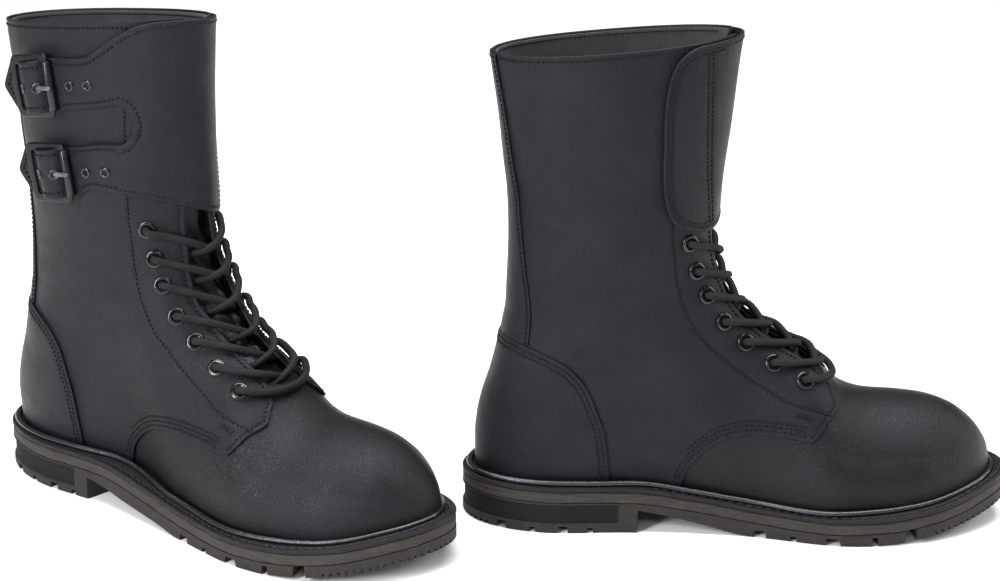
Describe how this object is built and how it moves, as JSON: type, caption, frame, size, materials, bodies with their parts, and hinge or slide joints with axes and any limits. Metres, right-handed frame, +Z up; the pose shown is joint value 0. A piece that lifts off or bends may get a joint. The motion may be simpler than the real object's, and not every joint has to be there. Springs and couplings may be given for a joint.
{
  "type": "fire boots",
  "caption": "Pair of high black leather laced boots with a wrap-over ankle gaiter closed by two buckled straps and a lugged rubber sole.",
  "frame": {"origin": "centre of the footprint box of the pair, on the floor they stand on", "axes": "+Z up; +X from the heel of the left boot towards its toe (0.8 degrees off); +Y away from the side on which both boots were first seen; the right boot is turned 32.8 degrees outwards from +X"},
  "size_m": [0.5688, 0.1966, 0.2754],
  "materials": {
    "upper_leather": "smooth coated, semi-matte",
    "tongue_leather": "soft, matte",
    "welt": "waxed, glossy bead",
    "midsole": "rough sanded edge",
    "outsole_rubber": "moulded, matte",
    "lining": "suede",
    "footbed": "felted",
    "fibre_board": "pressed fibre",
    "steel": "plain",
    "black_enamel": "glossy black enamel",
    "buckle_black": "satin black paint",
    "lace_cord": "braided"
  },
  "bodies": {
    "right_boot": {"right_outsole": "outsole_rubber", "right_midsole": "midsole", "right_welt": "welt", "right_shank": "steel", "right_insole_board": "fibre_board", "right_puncture_plate": "steel", "right_footbed": "footbed", "right_vamp": "upper_leather", "right_toe_cap": "steel", "right_quarter_lateral": "upper_leather", "right_quarter_medial": "upper_leather", "right_eyelet_stay_lateral": "black_enamel", "right_eyelet_stay_medial": "black_enamel", "right_backstay": "upper_leather", "right_heel_counter": "upper_leather", "right_heel_stiffener": "fibre_board", "right_lining": "lining", "right_tongue": "tongue_leather", "right_lace": "lace_cord", "right_gaiter": "upper_leather", "right_chape_upper": "upper_leather", "right_chape_lower": "upper_leather"},
    "right_buckle_frame_upper": {"right_buckle_frame_upper": "buckle_black"},
    "right_buckle_prong_upper": {"right_buckle_prong_upper": "buckle_black"},
    "right_buckle_roller_upper": {"right_buckle_roller_upper": "buckle_black"},
    "right_buckle_frame_lower": {"right_buckle_frame_lower": "buckle_black"},
    "right_buckle_prong_lower": {"right_buckle_prong_lower": "buckle_black"},
    "right_buckle_roller_lower": {"right_buckle_roller_lower": "buckle_black"},
    "left_boot": {"left_outsole": "outsole_rubber", "left_midsole": "midsole", "left_welt": "welt", "left_shank": "steel", "left_insole_board": "fibre_board", "left_puncture_plate": "steel", "left_footbed": "footbed", "left_vamp": "upper_leather", "left_toe_cap": "steel", "left_quarter_lateral": "upper_leather", "left_quarter_medial": "upper_leather", "left_eyelet_stay_lateral": "black_enamel", "left_eyelet_stay_medial": "black_enamel", "left_backstay": "upper_leather", "left_heel_counter": "upper_leather", "left_heel_stiffener": "fibre_board", "left_lining": "lining", "left_tongue": "tongue_leather", "left_lace": "lace_cord", "left_gaiter": "upper_leather", "left_chape_upper": "upper_leather", "left_chape_lower": "upper_leather"},
    "left_buckle_frame_upper": {"left_buckle_frame_upper": "buckle_black"},
    "left_buckle_prong_upper": {"left_buckle_prong_upper": "buckle_black"},
    "left_buckle_roller_upper": {"left_buckle_roller_upper": "buckle_black"},
    "left_buckle_frame_lower": {"left_buckle_frame_lower": "buckle_black"},
    "left_buckle_prong_lower": {"left_buckle_prong_lower": "buckle_black"},
    "left_buckle_roller_lower": {"left_buckle_roller_lower": "buckle_black"}
  },
  "joints": [
    {"name": "right_frame_tilt_upper", "type": "hinge", "parent": "right_boot", "child": "right_buckle_frame_upper", "pos_m": [-0.24948, 0.02135, 0.23885], "axis": [0.1254, -0.0796, -0.9889], "range_deg": [-1, 1.5]},
    {"name": "right_prong_lift_upper", "type": "hinge", "parent": "right_buckle_frame_upper", "child": "right_buckle_prong_upper", "pos_m": [-0.24948, 0.02135, 0.23885], "axis": [0.1254, -0.0796, -0.9889], "range_deg": [0, 12]},
    {"name": "right_roller_spin_upper", "type": "hinge", "parent": "right_buckle_frame_upper", "child": "right_buckle_roller_upper", "pos_m": [-0.23913, 0.01308, 0.24083], "axis": [0.1254, -0.0796, -0.9889], "continuous": true},
    {"name": "right_frame_tilt_lower", "type": "hinge", "parent": "right_boot", "child": "right_buckle_frame_lower", "pos_m": [-0.24298, 0.018, 0.19174], "axis": [0.1257, -0.0478, -0.9909], "range_deg": [-1, 1.5]},
    {"name": "right_prong_lift_lower", "type": "hinge", "parent": "right_buckle_frame_lower", "child": "right_buckle_prong_lower", "pos_m": [-0.24298, 0.018, 0.19174], "axis": [0.1257, -0.0478, -0.9909], "range_deg": [0, 12]},
    {"name": "right_roller_spin_lower", "type": "hinge", "parent": "right_buckle_frame_lower", "child": "right_buckle_roller_lower", "pos_m": [-0.23223, 0.01019, 0.19348], "axis": [0.1257, -0.0478, -0.9909], "continuous": true},
    {"name": "left_boot_lift", "type": "slide", "parent": "right_boot", "child": "left_boot", "axis": [0, 0, 1], "range_m": [0, 0.25]},
    {"name": "left_frame_tilt_upper", "type": "hinge", "parent": "left_boot", "child": "left_buckle_frame_upper", "pos_m": [0.04302, 0.03838, 0.23885], "axis": [-0.1485, 0.0031, 0.9889], "range_deg": [-1, 1.5]},
    {"name": "left_prong_lift_upper", "type": "hinge", "parent": "left_buckle_frame_upper", "child": "left_buckle_prong_upper", "pos_m": [0.04302, 0.03838, 0.23885], "axis": [-0.1485, 0.0031, 0.9889], "range_deg": [0, 12]},
    {"name": "left_roller_spin_upper", "type": "hinge", "parent": "left_buckle_frame_upper", "child": "left_buckle_roller_upper", "pos_m": [0.05622, 0.03954, 0.24083], "axis": [-0.1485, 0.0031, 0.9889], "continuous": true},
    {"name": "left_frame_tilt_lower", "type": "hinge", "parent": "left_boot", "child": "left_buckle_frame_lower", "pos_m": [0.05029, 0.03757, 0.19174], "axis": [-0.1311, 0.0298, 0.9909], "range_deg": [-1, 1.5]},
    {"name": "left_prong_lift_lower", "type": "hinge", "parent": "left_buckle_frame_lower", "child": "left_buckle_prong_lower", "pos_m": [0.05029, 0.03757, 0.19174], "axis": [-0.1311, 0.0298, 0.9909], "range_deg": [0, 12]},
    {"name": "left_roller_spin_lower", "type": "hinge", "parent": "left_buckle_frame_lower", "child": "left_buckle_roller_lower", "pos_m": [0.06356, 0.03813, 0.19348], "axis": [-0.1311, 0.0298, 0.9909], "continuous": true}
  ]
}
